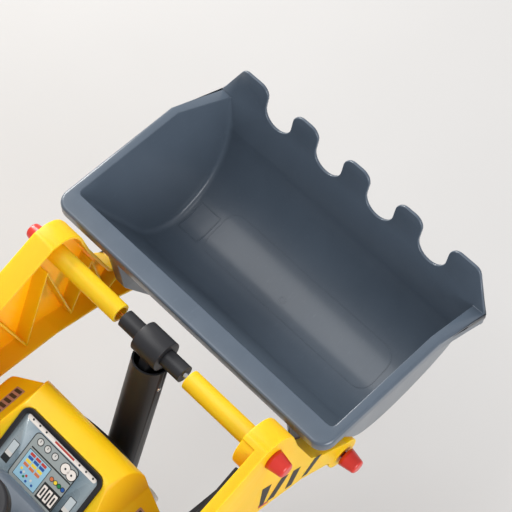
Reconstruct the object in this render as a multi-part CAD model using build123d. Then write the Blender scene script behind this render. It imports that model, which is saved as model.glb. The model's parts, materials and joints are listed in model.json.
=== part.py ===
from build123d import *
import os
from math import atan2, cos, degrees, hypot, radians, sin

os.makedirs("parts", exist_ok=True)

# Ride-on toy backhoe loader.  Millimetres, +X forward to the loader bucket, +Y left, +Z up.
# The origin is on the floor, under the middle of the whole toy, arms raised.
# Loader places are (x, z) offsets from the cross-bar between the arm knuckles.
BAR_X = 258.035
BAR_Z = 363.0

WALL = 3.0                       # injection-moulded wall
RUN = 0.06                       # radial running clearance of a shaft in its bore
GAP = 0.5                        # side gap between neighbours that turn


def spot(x, z):
    """X and Z in the toy's frame of a place measured from the cross-bar."""
    return (BAR_X + x, BAR_Z + z)


# Loader arms: root pivot, bucket pivot, and where they sit across the toy
ARM_ROOT = spot(-210, -90)
BUCKET_PIVOT = spot(92, -150)
ARM_IN, ARM_OUT = 119.0, 143.0
RIGHT_INNER = 133.0              # inner edge of the right arm behind its knuckle
BOSS_IN = 118.5
KNUCKLE_R, ROOT_R, TIP_R = 24.0, 24.0, 17.5
ROD_R, SHAFT_R, STUB_R = 2.5, 4.0, 5.0
TUBE_R, TUBE_BORE_R, TUBE_IN = 9.5, 6.5, 43.0
SLEEVE_R, SLEEVE_IN, SLEEVE_OUT = 8.5, 15.0, 37.0
CAP_LENGTH, CAP_BASE_R, CAP_TIP_R = 16.0, 10.0, 7.0

# Lift strut: its line, from the cross-bar to the foot in the keel
FOOT = spot(-98, -299)
STRUT_LEAN = degrees(atan2(BAR_X - FOOT[0], BAR_Z - FOOT[1]))
STRUT_LENGTH = hypot(BAR_X - FOOT[0], BAR_Z - FOOT[1])
BARREL_R, BARREL_BORE_R, BARREL_TOP, BARREL_END = 17.0, 15.2, 19.0, 193.0
PISTON_TOP, PISTON_LENGTH, STRUT_ROD_R = 168.0, 20.0, 9.0
FOOT_RING_R, FOOT_HOLE_R, FOOT_PIN_R = 10.5, 5.4, 3.0

# Tilt linkage on the right: crank offset, the same at the arm root and on the bucket ear
CRANK = (-28.0, 45.0)
LINK_IN, LINK_OUT = 107.0, 111.0
LEVER_IN, LEVER_OUT = 112.5, 117.0
LINK_PIN_R = 3.0
LEVER_REACH = 150.0

# Loader bucket: half-widths of the cavity at the rim and on the floor, then rim and blade
MOUTH_HALF, FLOOR_HALF = 158.0, 140.0
FLOOR_DROP = 150.0
RIM_HALF, RIM_BACK, RIM_CORNER = 167.5, 33.0, 14.5
SKIRT = 11.0
BLADE_FOOT = spot(220, -124)
BLADE_LEAN = radians(12.4)
BLADE_LOW, SHOULDER_UP, VALLEY_UP, TIP_UP = 48.0, 87.0, 95.0, 133.0
VALLEY_PITCH, VALLEY_HALF, VALLEY_R, TOOTH_R = 64.5, 16.5, 16.0, 11.5
TIP_HALF = 146.0

# Hood and chassis
DASH_TOP = spot(-106, -37)
DASH_SLOPE = radians(33)
DASH_LENGTH, DASH_HALF, DASH_CORNER, DASH_BORDER = 72.0, 50.0, 9.0, 4.4
HOOD_FRONT = BAR_X - 72
HOOD_REAR = BAR_X - 262
HOOD_BASE = BAR_Z - 190
HOOD_HALF = 105.0
STRUT_SLOT = 20.0
GRILLE_NOSE, GRILLE_HALF = 61.0, 84.0
PLATE_LOW = HOOD_BASE - 15
UNDERSIDE = 42.0

# Steering: the column leans back, the front axle hangs from its lower end
STEER_LEAN = 8.75
FRONT_AXLE = (BAR_X - 175.5, 70.0)
COLUMN_R = 6.0
HUB_UP = 292.0
HUB_R, HUB_REACH, GRIP_RING_R, GRIP_R = 28.3, 19.7, 86.0, 9.0
COLLAR_R, COLLAR_CORNER, COLLAR_NECK_R = 57.0, 40.0, 47.0
COLLAR_LOW, COLLAR_TOP = 176.0, 234.0

# Wheels
FRONT_R, FRONT_IN, FRONT_OUT, FRONT_AXLE_R = 70.0, 50.0, 94.0, 4.0
REAR_AXLE = (BAR_X - 440, 88.0)
REAR_R, REAR_IN, REAR_OUT, REAR_AXLE_R = 88.0, 84.0, 136.0, 5.0

# Rear body and seat
REAR_FRONT = BAR_X - 280
REAR_END = BAR_X - 530
REAR_HALF = 78.0
SEAT_Z = 232.0

# Backhoe: swing post, boom, stick and bucket pivots, as (x, z)
POST_X = BAR_X - 580
POST_LOW, POST_HIGH = 112.0, 150.0
BOOM_FOOT = (POST_X - 32, 134.0)
BOOM_TOP = (POST_X - 80, 345.0)
STICK_END = (POST_X - 156, 225.0)
HOE_PIN_R = 4.0
BOOM_HALF = 11.0
FORK_IN, FORK_OUT = 11.6, 16.0
HOE_HALF = 44.0


def slab(points, y0, y1, radius=0.0):
    """Plate with an outline in X and Z, from y0 to y1, its corners rounded."""
    if radius:
        outline = FilletPolyline(*points, radius=radius, close=True)
    else:
        outline = Polyline(*points, close=True)
    face = make_face(Plane.XZ * outline)
    return Pos(0, y0, 0) * extrude(face, amount=y1 - y0, dir=(0, 1, 0))


def block(x0, x1, y0, y1, z0, z1):
    """Plain box between two corners."""
    middle = Pos((x0 + x1) / 2, (y0 + y1) / 2, (z0 + z1) / 2)
    return middle * Box(abs(x1 - x0), abs(y1 - y0), abs(z1 - z0))


def drum(place, radius, y0, y1):
    """Cylinder along Y, its axis at (x, z), from y0 to y1."""
    return Pos(place[0], (y0 + y1) / 2, place[1]) * Rot(90, 0, 0) * Cylinder(radius, abs(y1 - y0))


def ring(place, radius, bore, y0, y1):
    """Drum with a bore."""
    return drum(place, radius, y0, y1) - drum(place, bore, y0 - 1, y1 + 1)


def flip(shape):
    """The same piece on the right side."""
    return mirror(shape, about=Plane.XZ)


def pair(shape):
    """Two identical pieces, left and right, that share one node."""
    return Compound(children=[shape, flip(shape)])


def cap(place, inner, rod_radius, depth):
    """Red push-on cap for a rod end on the left side, with a blind bore."""
    body = Cone(CAP_BASE_R, CAP_TIP_R, CAP_LENGTH)
    body = fillet(body.edges().sort_by(Axis.Z)[-1], 2.5)
    body = Pos(place[0], inner + CAP_LENGTH / 2, place[1]) * Rot(-90, 0, 0) * body
    return body - drum(place, rod_radius, inner - 1, inner + depth)


def along(start, end, half_width, y0, y1):
    """Bar with round ends between two (x, z) places."""
    run = hypot(end[0] - start[0], end[1] - start[1])
    side = ((start[1] - end[1]) / run * half_width, (end[0] - start[0]) / run * half_width)
    corners = [
        (start[0] + side[0], start[1] + side[1]),
        (end[0] + side[0], end[1] + side[1]),
        (end[0] - side[0], end[1] - side[1]),
        (start[0] - side[0], start[1] - side[1]),
    ]
    bar = slab(corners, y0, y1)
    return bar + drum(start, half_width, y0, y1) + drum(end, half_width, y0, y1)


# ---------------------------------------------------------------- loader bucket

def blade_point(up, out=0.0):
    """X and Z of a place up the inner face of the blade, or out in front of it."""
    x = BLADE_FOOT[0] + up * sin(BLADE_LEAN) + out * cos(BLADE_LEAN)
    z = BLADE_FOOT[1] + up * cos(BLADE_LEAN) - out * sin(BLADE_LEAN)
    return (x, z)


def blade_side():
    """Left half of the blade's outline from its foot to the middle, as (across, up, radius)."""
    side = [
        (MOUTH_HALF - 8, BLADE_LOW, 1), (MOUTH_HALF - 3, BLADE_LOW + 18, 1),
        (RIM_HALF, SHOULDER_UP - 11, 1), (RIM_HALF, SHOULDER_UP, 4), (TIP_HALF, TIP_UP, 9),
    ]
    for middle in (1.5 * VALLEY_PITCH, 0.5 * VALLEY_PITCH):
        side.append((middle + VALLEY_HALF, TIP_UP, TOOTH_R))
        side.append((middle + VALLEY_HALF, VALLEY_UP, VALLEY_R))
        side.append((middle - VALLEY_HALF, VALLEY_UP, VALLEY_R))
        side.append((middle - VALLEY_HALF, TIP_UP, TOOTH_R))
    return side


def bucket_blade():
    """Front wall of the bucket with its row of rounded teeth, drawn across the blade."""
    left = blade_side()
    outline = left + [(-across, up, radius) for across, up, radius in reversed(left)]
    wire = FilletPolyline(
        *[(across, up) for across, up, radius in outline],
        radius=[radius for across, up, radius in outline], close=True,
    )
    plane = Plane(
        origin=(BLADE_FOOT[0], 0, BLADE_FOOT[1]),
        x_dir=(0, 1, 0),
        z_dir=(cos(BLADE_LEAN), 0, -sin(BLADE_LEAN)),
    )
    return extrude(plane * make_face(wire), amount=WALL)


def trough(skin):
    """Deep rounded trough with sloping ends, every face moved out by skin."""
    outline = FilletPolyline(
        spot(42, 80), spot(56.5, -18), spot(120, -150.4), blade_point(-0.5), blade_point(210),
        radius=[14, 15, 52, 85, 14], close=True,
    )
    face = make_face(outline)
    if skin:
        face = offset(face, amount=skin, kind=Kind.INTERSECTION)
    form = extrude(Plane.XZ * face, amount=200, both=True)
    slope = (MOUTH_HALF - FLOOR_HALF) / FLOOR_DROP
    low_half = FLOOR_HALF + skin - 40 * slope
    top_half = MOUTH_HALF + skin + 100 * slope
    ends = Polyline(
        (-low_half, BAR_Z - FLOOR_DROP - 40), (low_half, BAR_Z - FLOOR_DROP - 40),
        (top_half, BAR_Z + 100), (-top_half, BAR_Z + 100), close=True,
    )
    return form & extrude(Plane.YZ * make_face(ends), amount=600)


def rim_form(inset):
    """Space under the rim's top surface, every face moved in by inset."""
    low, back, front = BAR_Z - 90, BAR_X + RIM_BACK + inset, BAR_X + 246
    side = Polyline(
        (back, low), (back, BAR_Z + 1 - inset), (BAR_X + 176, BAR_Z - 1 - inset),
        (front, BAR_Z - 41 - inset), (front, low), close=True,
    )
    half = RIM_HALF - inset
    plan = FilletPolyline(
        (front, -half), (front, half), (back, half), (back, -half),
        radius=[0.5, 0.5, RIM_CORNER - inset, RIM_CORNER - inset], close=True,
    )
    profile = extrude(Plane.XZ * make_face(side), amount=200, both=True)
    return profile & extrude(make_face(plan), amount=600, both=True)


def rim():
    """Flange round the back and the sides with a skirt hanging from its edge."""
    below = slab(
        [spot(0, -SKIRT), spot(172, -SKIRT - 2), spot(250, -SKIRT - 46), spot(250, -200), spot(0, -200)],
        -200, 200,
    )
    return rim_form(0) - rim_form(WALL) - below


def bucket_ear(y0, y1):
    """Pivot ear behind the bucket, from the rim down to the pivot shaft."""
    outline = [
        spot(44, -30), spot(66, -24), spot(84, -60), spot(120, -121), spot(132, -143),
        spot(113, -162), spot(92, -167), spot(79, -160), spot(52, -108), spot(47, -57),
    ]
    return slab(outline, y0, y1, 4)


HORN = (BUCKET_PIVOT[0] + CRANK[0], BUCKET_PIVOT[1] + CRANK[1])
ROOT_CRANK = (ARM_ROOT[0] + CRANK[0], ARM_ROOT[1] + CRANK[1])


def bucket():
    """One moulding: trough, toothed blade, rim and the two pivot ears."""
    top = slab(
        [spot(0, 0), spot(176, -2), spot(246, -42), spot(300, -42), spot(300, -250), spot(0, -250)],
        -200, 200,
    )
    ahead = slab(
        [blade_point(-200, WALL), blade_point(200, WALL), spot(400, 100), spot(400, -300)], -200, 200
    )
    left_ear = bucket_ear(104, LEVER_OUT)
    right_ear = bucket_ear(-LEVER_OUT, -LEVER_IN) + drum(BUCKET_PIVOT, 14, -LEVER_OUT, -104)
    body = (trough(WALL) & top) + (rim() - ahead) + left_ear + right_ear - trough(0) + bucket_blade()
    body -= drum(BUCKET_PIVOT, SHAFT_R, -130, 130)
    return body - drum(HORN, LINK_PIN_R, -130, -100)


# ---------------------------------------------------------------- loader arms

ARM_TOP = [
    spot(-222, -68), spot(-52, 5), spot(-6, 25), spot(24, 6), spot(30, -24), spot(49, -86),
    spot(66, -106), spot(98, -134),
]
LEFT_UNDER = [spot(84, -167), spot(30, -137), spot(-20, -122), spot(-100, -113), spot(-212, -114)]
RIGHT_UNDER = [
    spot(86, -165), spot(72, -141), spot(38, -115), spot(0, -99.5), spot(-30, -89),
    spot(-100, -98), spot(-212, -114),
]


def arm_web(under, inset, y0, y1):
    """Side outline of an arm, moved in from the edge by inset."""
    face = make_face(FilletPolyline(*ARM_TOP, *under, radius=6, close=True))
    if inset:
        face = offset(face, amount=-inset)
    rim = Pos(0, y0, 0) * extrude(Plane.XZ * face, amount=y1 - y0, dir=(0, 1, 0))
    places = ((ARM_ROOT, ROOT_R), (BUCKET_PIVOT, TIP_R), ((BAR_X, BAR_Z), KNUCKLE_R))
    for place, radius in places:
        rim += drum(place, radius - inset, y0, y1)
    return rim


def arm_ribs():
    """Stiffening ribs across the open side of the arm."""
    zigzag = [
        spot(-176, -102), spot(-150, -44), spot(-110, -108), spot(-78, -14), spot(-52, -112),
        spot(-14, -20), spot(2, -120), spot(34, -60), spot(44, -134), spot(70, -118),
    ]
    ribs = None
    for start, end in zip(zigzag, zigzag[1:]):
        rib = along(start, end, 1.2, ARM_IN + 6, ARM_OUT - 1)
        ribs = rib if ribs is None else ribs + rib
    return ribs


def arm(under, inner):
    """Arm as on the left: channel open inwards, bosses and bar tube; inner is its edge behind the knuckle."""
    channel = arm_web(under, 0, ARM_IN, ARM_OUT) - arm_web(under, WALL, ARM_IN - 1, ARM_OUT - WALL)
    inside = arm_web(under, 1.0, ARM_IN, ARM_OUT)
    body = channel + (arm_ribs() & inside)
    if inner > ARM_IN:
        behind = BAR_X - 12
        body -= block(BAR_X - 300, behind, ARM_IN - 1, inner, 0, BAR_Z + 60)
        knuckle = ring((BAR_X, BAR_Z), KNUCKLE_R, KNUCKLE_R - WALL, ARM_IN, inner + 1)
        body += knuckle & block(BAR_X - 60, behind + 1, ARM_IN, inner + 1, 0, BAR_Z + 60)
    body += drum(ARM_ROOT, 13, BOSS_IN, ARM_OUT)
    body += drum(BUCKET_PIVOT, 11, BOSS_IN, ARM_OUT + 1)
    body += drum((BAR_X, BAR_Z), TUBE_R, TUBE_IN, ARM_OUT)
    body -= drum((BAR_X, BAR_Z), TUBE_BORE_R, TUBE_IN - 1, ARM_IN - 3)
    body -= drum((BAR_X, BAR_Z), ROD_R, TUBE_IN - 1, ARM_OUT + 2)
    body -= drum(ARM_ROOT, STUB_R + RUN, BOSS_IN - 1, ARM_OUT + 2)
    return body - drum(BUCKET_PIVOT, SHAFT_R + RUN, BOSS_IN - 1, ARM_OUT + 2)


def arm_guard():
    """Black strip lying on the ribs inside the right arm, between it and the tilt link."""
    top = [spot(-150, -88), spot(-61, -46), spot(-20, -26)]
    bottom = [spot(-14, -44), spot(-61, -66), spot(-150, -104)]
    return flip(slab(top + bottom, ARM_IN, RIGHT_INNER, 2))


def lift_handle():
    """Handle bar on the inside of the left arm root."""
    foot, elbow = spot(-176, -62), spot(-214, -8)
    grip_end = spot(-286, 40)
    bar = along(foot, elbow, 9, 113, 118.8) + along(elbow, grip_end, 9, 113, 118.8)
    post = drum(spot(-186, -78), 7, 113, ARM_OUT - WALL)
    tie = along(foot, spot(-186, -78), 7, 113, 118.8)
    return bar + post + tie


def grip(end, toward):
    """Rubber sleeve over the last stretch of a handle bar, the bar's own slot cut out."""
    start = (end[0] + toward[0], end[1] + toward[1])
    body = along(start, end, 13, 109, 121.5)
    return fillet(body.edges().filter_by(Axis.Y, reverse=True), 3)


# ---------------------------------------------------------------- cross-bar and strut

def strut_place(distance):
    """Location on the strut's line, with +Z running from the foot to the cross-bar."""
    lean = radians(STRUT_LEAN)
    return Pos(BAR_X - distance * sin(lean), 0, BAR_Z - distance * cos(lean)) * Rot(0, STRUT_LEAN, 0)


def strut_stretch(radius, start, end):
    """Cylinder on the strut's line between two distances from the cross-bar."""
    return strut_place((start + end) / 2) * Cylinder(radius, end - start)


def strut_eye():
    """Ring on the cross-bar with the blade that enters the barrel."""
    half = SLEEVE_IN - GAP
    eye = drum((BAR_X, BAR_Z), 15, -half, half)
    blade = strut_place(33) * Box(21, 9, 46)
    eye += blade
    eye -= drum((BAR_X, BAR_Z), ROD_R + RUN, -half - 1, half + 1)
    return eye - strut_place(44) * Rot(90, 0, 0) * Cylinder(2, 40)


def strut_barrel():
    """Thin tube open at the top, pinned to the blade."""
    tube = strut_stretch(BARREL_R, BARREL_TOP, BARREL_END)
    tube -= strut_stretch(BARREL_BORE_R, BARREL_TOP - 1, BARREL_END + 1)
    return tube - strut_place(44) * Rot(90, 0, 0) * Cylinder(2, 40)


def strut_cross_pin():
    """Pin through the barrel and the blade."""
    return strut_place(44) * Rot(90, 0, 0) * Cylinder(2, 2 * BARREL_R + 1)


def strut_rod():
    """Sliding rod: piston in the barrel, shank, and the ring round the foot pin."""
    piston_end = PISTON_TOP + PISTON_LENGTH
    rod = strut_stretch(BARREL_BORE_R - RUN, PISTON_TOP, piston_end)
    rod += strut_stretch(STRUT_ROD_R, piston_end, STRUT_LENGTH - FOOT_HOLE_R - 1)
    rod += drum(FOOT, FOOT_RING_R, 1.5 - STRUT_ROD_R, STRUT_ROD_R - 1.5)
    return rod - drum(FOOT, FOOT_HOLE_R, -20, 20)


# ---------------------------------------------------------------- hood

def dash_place(down, across=0.0):
    """Location on the sloping dash: down the slope from its front edge, +Z out of it."""
    x = DASH_TOP[0] - down * cos(DASH_SLOPE)
    z = DASH_TOP[1] - down * sin(DASH_SLOPE)
    return Pos(x, across, z) * Rot(0, -degrees(DASH_SLOPE), 0)


def hood_form(inset):
    """Crowned cowl with a rounded nose and sloping shoulders, every face moved in by inset."""
    profile = FilletPolyline(
        (HOOD_FRONT - inset, HOOD_BASE - 2 * inset), (HOOD_FRONT - inset, BAR_Z - 44 - inset),
        (DASH_TOP[0], DASH_TOP[1] + 0.5 - inset), (BAR_X - 218, BAR_Z - 109.7 - inset),
        (HOOD_REAR + inset, BAR_Z - 118 - inset), (HOOD_REAR + inset, HOOD_BASE - 2 * inset),
        radius=[0.5, 24 - inset, 12 - inset, 20, 4, 0.5], close=True,
    )
    side = extrude(Plane.XZ * make_face(profile), amount=200, both=True)
    half = HOOD_HALF - inset
    section = FilletPolyline(
        (-half, 0), (-half, BAR_Z - 92 - inset), (-68 + inset, BAR_Z - 68 - inset),
        (-52 + inset, BAR_Z - 33 - inset), (52 - inset, BAR_Z - 33 - inset),
        (68 - inset, BAR_Z - 68 - inset), (half, BAR_Z - 92 - inset), (half, 0),
        radius=[0.5, 10, 4, 16, 16, 4, 10, 0.5], close=True,
    )
    front = extrude(Plane.YZ * make_face(section), amount=600, both=True)
    nose = HOOD_FRONT - inset
    plan = FilletPolyline(
        (-600, -half), (nose - 14, -half), (nose, -60), (nose, 60), (nose - 14, half),
        (-600, half), radius=[0.5, 10, 40, 40, 10, 0.5], close=True,
    )
    return side & front & extrude(make_face(plan), amount=600, both=True)


def hood_tower():
    """Left upright that carries the arm root, outside the dash."""
    crown = drum(ARM_ROOT, ROOT_R, REAR_HALF, HOOD_HALF)
    foot = slab(
        [spot(-236, -90), spot(-184, -90), spot(-168, -134), spot(-252, -134)],
        REAR_HALF, HOOD_HALF,
    )
    return crown + foot


def hood_screw_places():
    """Centres of the screw bosses under the hood."""
    return [(BAR_X - x, side * 97) for x in (98, 170, 240) for side in (-1, 1)]


def hood():
    """Yellow front cover: cowl, shoulders and arm towers, open underneath."""
    body = hood_form(0) - hood_form(WALL)
    tower = hood_tower() - hood_form(1)
    body += tower + flip(tower)
    for x, y in hood_screw_places():
        boss = Pos(x, y, HOOD_BASE + 14) * Cylinder(6, 28)
        body += boss - Pos(x, y, HOOD_BASE + 4) * Cylinder(2, 20)
    for side in (-1, 1):
        body -= drum(ARM_ROOT, STUB_R, side * 74, side * 120)
    body -= dash_plate(0, 5, 0)
    body -= steer_place(200) * Cylinder(COLLAR_NECK_R, 70)
    return body - block(BAR_X - 90, BAR_X, -STRUT_SLOT - 1, STRUT_SLOT + 1, 0, BAR_Z - 140)


def dash_plate(inset, thickness, height):
    """Rounded plate on the dash opening, its middle at a height above the slope."""
    plate = RectangleRounded(DASH_LENGTH - 2 * inset, 2 * (DASH_HALF - inset), DASH_CORNER - inset)
    place = dash_place(DASH_LENGTH / 2 - 2) * Pos(0, 0, height - thickness / 2)
    return place * extrude(plate, amount=thickness)


def dash_bezel():
    """Dark frame round the dash, set into the hood's recess."""
    frame = dash_plate(0, 3.5, -0.75) - dash_plate(DASH_BORDER, 5, 1)
    return frame - collar_form(0.3)


def dash_panel():
    """Printed instrument panel inside the bezel."""
    return dash_plate(DASH_BORDER + 0.1, 1.2, -0.9) - collar_form(0.3)


def collar_form(clearance):
    """Rounded-square space taken by the steering collar, from under the dash upwards."""
    size = 2 * (COLLAR_R + clearance)
    plan = extrude(RectangleRounded(size, size, COLLAR_CORNER), amount=COLLAR_TOP - COLLAR_LOW)
    return steer_place(COLLAR_LOW) * plan


def front_grille():
    """Black bumper grille wrapped round the hood's nose, with a notch for the strut low down."""
    low, high = BAR_Z - 215, BAR_Z - 97
    arc = ThreePointArc((BAR_X - 86, -101), (BAR_X - GRILLE_NOSE, 0), (BAR_X - 86, 101))
    back = Line((BAR_X - 86, 101), (BAR_X - 86, -101))
    body = Pos(0, 0, low) * extrude(make_face(arc + back), amount=high - low)
    body = fillet(body.edges().filter_by(GeomType.CIRCLE).sort_by(Axis.Z)[-1], 3)
    body &= block(BAR_X - 90, BAR_X - 50, -GRILLE_HALF, GRILLE_HALF, low - 1, high + 1)
    body -= hood_form(0)
    body -= block(BAR_X - 90, HOOD_FRONT - 6, -GRILLE_HALF - 1, GRILLE_HALF + 1, low - 1, HOOD_BASE + 0.5)
    for row in range(5):
        level = high - 40 - 14 * row
        body -= block(BAR_X - 68, BAR_X - 50, 26, 68, level - 5, level)
        body -= block(BAR_X - 68, BAR_X - 50, -68, -26, level - 5, level)
    notch = STRUT_SLOT + 1
    body -= block(BAR_X - 90, BAR_X - 40, -notch, notch, low - 1, high - 20)
    return body - block(BAR_X - 90, BAR_X - 40, -28, 28, low - 1, PLATE_LOW + 5)


def headlamps():
    """Two clear lamp lenses on the grille, one solid each."""
    lamps = []
    for side in (-1, 1):
        lens = Pos(BAR_X - 68.8, side * 56, BAR_Z - 118) * Rot(0, 90, 0) * Cylinder(11, 6.4)
        lamps.append(lens)
    return lamps


# ---------------------------------------------------------------- chassis

def chassis():
    """Black lower frame: plate under the hood, strut keel, and the tub between the rear wheels."""
    plate = block(HOOD_REAR - 30, HOOD_FRONT - 6, -HOOD_HALF, HOOD_HALF, PLATE_LOW, HOOD_BASE)
    plate = fillet(plate.edges().filter_by(Axis.Z), 10)
    keel = block(BAR_X - 126, BAR_X - 64, -28, 28, UNDERSIDE, PLATE_LOW + 5)
    keel = fillet(keel.edges().filter_by(Axis.Z), 6)
    tub = block(REAR_END, REAR_FRONT, -REAR_HALF + 2, REAR_HALF - 2, UNDERSIDE, HOOD_BASE)
    tub = fillet(tub.edges().filter_by(Axis.Z), 12)
    body = plate - plate_pocket() + keel + tub
    body -= block(BAR_X - 118, BAR_X, -STRUT_SLOT, STRUT_SLOT, UNDERSIDE + 5, HOOD_BASE + 5)
    body -= block(REAR_END + 4, REAR_FRONT - 4, -REAR_HALF + 6, REAR_HALF - 6, UNDERSIDE + 4, 300)
    bearing = drum(REAR_AXLE, 11, -REAR_HALF, REAR_HALF)
    bearing -= block(REAR_END, 0, -REAR_HALF + 18, REAR_HALF - 18, 0, 300)
    body += bearing
    body -= drum(REAR_AXLE, REAR_AXLE_R, -100, 100)
    body -= drum(FOOT, FOOT_PIN_R, -40, 40)
    body -= steer_place(100) * Cylinder(COLUMN_R + RUN, 60)
    for x, y in hood_screw_places():
        body -= Pos(x, y, PLATE_LOW) * Cylinder(2, 60)
        body -= Pos(x, y, PLATE_LOW + 2) * Cylinder(5, 4.01)
    return body


def plate_pocket():
    """Hollow in the top of the plate, round the screw, column and strut blocks."""
    pocket = block(
        REAR_FRONT + 6, HOOD_FRONT - 12, 6 - HOOD_HALF, HOOD_HALF - 6, PLATE_LOW + WALL + 1, HOOD_BASE + 1
    )
    for x, y in hood_screw_places():
        pocket -= Pos(x, y, PLATE_LOW) * Cylinder(10, 60)
    pocket -= steer_place(100) * Cylinder(COLUMN_R + 9, 100)
    return pocket - block(BAR_X - 132, BAR_X, -34, 34, 0, 300)


def body_screw(x, y, head_z, length):
    """Self-tapping screw pointing up, its head's lower face at head_z."""
    head = Pos(x, y, head_z + 1.5) * Cylinder(4, 3)
    head = fillet(head.edges().sort_by(Axis.Z)[0], 1)
    shank = Pos(x, y, head_z + 3 + length / 2) * Cylinder(2, length)
    slot = Pos(x, y, head_z + 0.5) * (Box(5, 1, 1.4) + Box(1, 5, 1.4))
    return head + shank - slot


# ---------------------------------------------------------------- steering

def steer_place(up):
    """Location on the steering axis, up from the front axle, +Z along the column."""
    lean = radians(STEER_LEAN)
    return Pos(FRONT_AXLE[0] - up * sin(lean), 0, FRONT_AXLE[1] + up * cos(lean)) * Rot(0, -STEER_LEAN, 0)


def column_shroud():
    """Slate collar round the steering column, seated in the hood."""
    top_edge = collar_form(0).edges().sort_by(Axis.Z)[-8:]
    collar = fillet([edge for edge in top_edge if abs(edge.tangent_at(0.5).Z) < 0.5], 8)
    collar &= block(HOOD_REAR + 1, BAR_X, -200, 200, 0, 600)
    body = collar - hood_form(0)
    body += steer_place((COLLAR_TOP + 170) / 2) * Cylinder(COLLAR_NECK_R, COLLAR_TOP - 170)
    body += steer_place(COLLAR_TOP + 12) * Cone(30, 15, 25)
    body -= steer_place(COLLAR_TOP - 60) * Cylinder(COLLAR_NECK_R - WALL, 100)
    return body - steer_place(200) * Cylinder(COLUMN_R + RUN, 200)


def steering_column():
    """Steel column from the bracket up into the wheel hub."""
    return steer_place(HUB_UP / 2) * Cylinder(COLUMN_R, HUB_UP - 16)


def steering_wheel():
    """Hub, two spokes and a hand ring that is open towards the dash."""
    hub = extrude(SlotCenterToCenter(2 * HUB_REACH, 2 * HUB_R), amount=16)
    hub = fillet(hub.edges().filter_by(Plane.XY), 3)
    hub = steer_place(HUB_UP - 14) * hub
    opening = 42
    path = CenterArc((0, 0), GRIP_RING_R, opening, 360 - 2 * opening)
    start = path @ 0
    section = Plane(origin=start, z_dir=path % 0) * Circle(GRIP_R)
    rim = sweep(section, path=path)
    for end in (path @ 0, path @ 1):
        rim += Pos(end.X, end.Y, 0) * Sphere(GRIP_R)
    spokes = Pos(0, 0, -1) * Box(20, 2 * GRIP_RING_R - 4, 9)
    spokes += Pos(-GRIP_RING_R / 2, 0, -1) * Box(GRIP_RING_R, 18, 9)
    wheel = hub + steer_place(HUB_UP - 4) * (rim + spokes)
    wheel -= steer_place(HUB_UP - 2) * Cylinder(16.4, 12.01)
    boss = steer_place(HUB_UP - 18) * Cylinder(13, 14)
    wheel += boss
    return wheel - steer_place(HUB_UP - 50) * Cylinder(COLUMN_R, 84)


def horn_button():
    """Round button that stands a little proud of the hub."""
    button = steer_place(HUB_UP + 2.5) * Cylinder(16, 8)
    return fillet(button.edges().filter_by(GeomType.CIRCLE).sort_by(Axis.Z)[-1], 2)


def horn_spring():
    """Coil spring under the button, standing on the hub's recess floor."""
    coil = Helix(pitch=1.9, height=4.2, radius=9)
    section = Plane(origin=coil @ 0, z_dir=coil % 0) * Circle(0.6)
    wire = sweep(section, path=coil, is_frenet=True)
    return steer_place(HUB_UP - 7.3) * wire


def front_bracket():
    """Black fork under the chassis that carries the front axle and turns with the column."""
    stem = steer_place(42) * Cylinder(14, 84)
    beam = Box(32, 2 * FRONT_IN - 2, 26)
    beam = fillet(beam.edges().filter_by(Axis.Y), 8)
    gusset = Box(20, 64, 40)
    gusset = chamfer(gusset.edges().filter_by(Axis.X).sort_by(Axis.Z)[-2:], 18)
    body = stem + steer_place(2) * beam + steer_place(32) * gusset
    body -= steer_place(60) * Cylinder(COLUMN_R, 104)
    return body - drum(FRONT_AXLE, FRONT_AXLE_R, -100, 100)


# ---------------------------------------------------------------- wheels

def wheel(place, radius, inner, outer, axle_radius):
    """Left black wheel: rounded tread with lugs, dished outside for the rim disc."""
    width = outer - inner
    body = Cylinder(radius - 4, width)
    body = fillet(body.edges().filter_by(GeomType.CIRCLE), 9)
    count = 18
    for index in range(count):
        body += lug_bar(radius, width, index * 360 / count, 1)
        body += lug_bar(radius, width, (index + 0.5) * 360 / count, -1)
    dish = Pos(0, 0, width / 2 - 7) * (Cylinder(radius * 0.66, 14.01) - Cylinder(axle_radius + 9, 15))
    depth = width - 14
    hollow = Cylinder(radius - 13, depth) - Cylinder(axle_radius + 9, depth + 1)
    hollow = Pos(0, 0, (depth - width) / 2) * hollow
    body = body - dish - hollow - Cylinder(axle_radius + RUN, width + 20)
    return Pos(place[0], (inner + outer) / 2, place[1]) * Rot(-90, 0, 0) * body


def lug_bar(radius, width, turn, side):
    """One slanted tread bar on half of the tread."""
    bar = Pos(radius - 4, 0, side * width / 4.4) * Rot(side * 18, 0, 0) * Box(10, 9, width / 2 - 4)
    return Rot(0, 0, turn) * (bar & Cylinder(radius, width))


def rim_disc(place, radius, outer, axle_radius):
    """Left yellow disc snapped into the wheel's dish."""
    disc = Cylinder(radius * 0.66 - 0.3, 9) - Cylinder(axle_radius + 9.3, 10)
    disc = fillet(disc.edges().filter_by(GeomType.CIRCLE).sort_by(Axis.Z)[-1], 3)
    for index in range(6):
        disc -= Rot(0, 0, index * 60) * Pos(radius * 0.42, 0, 3) * Cylinder(radius * 0.1, 6)
    return Pos(place[0], outer - 9.5, place[1]) * Rot(-90, 0, 0) * disc


# ---------------------------------------------------------------- rear body and seat

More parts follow.
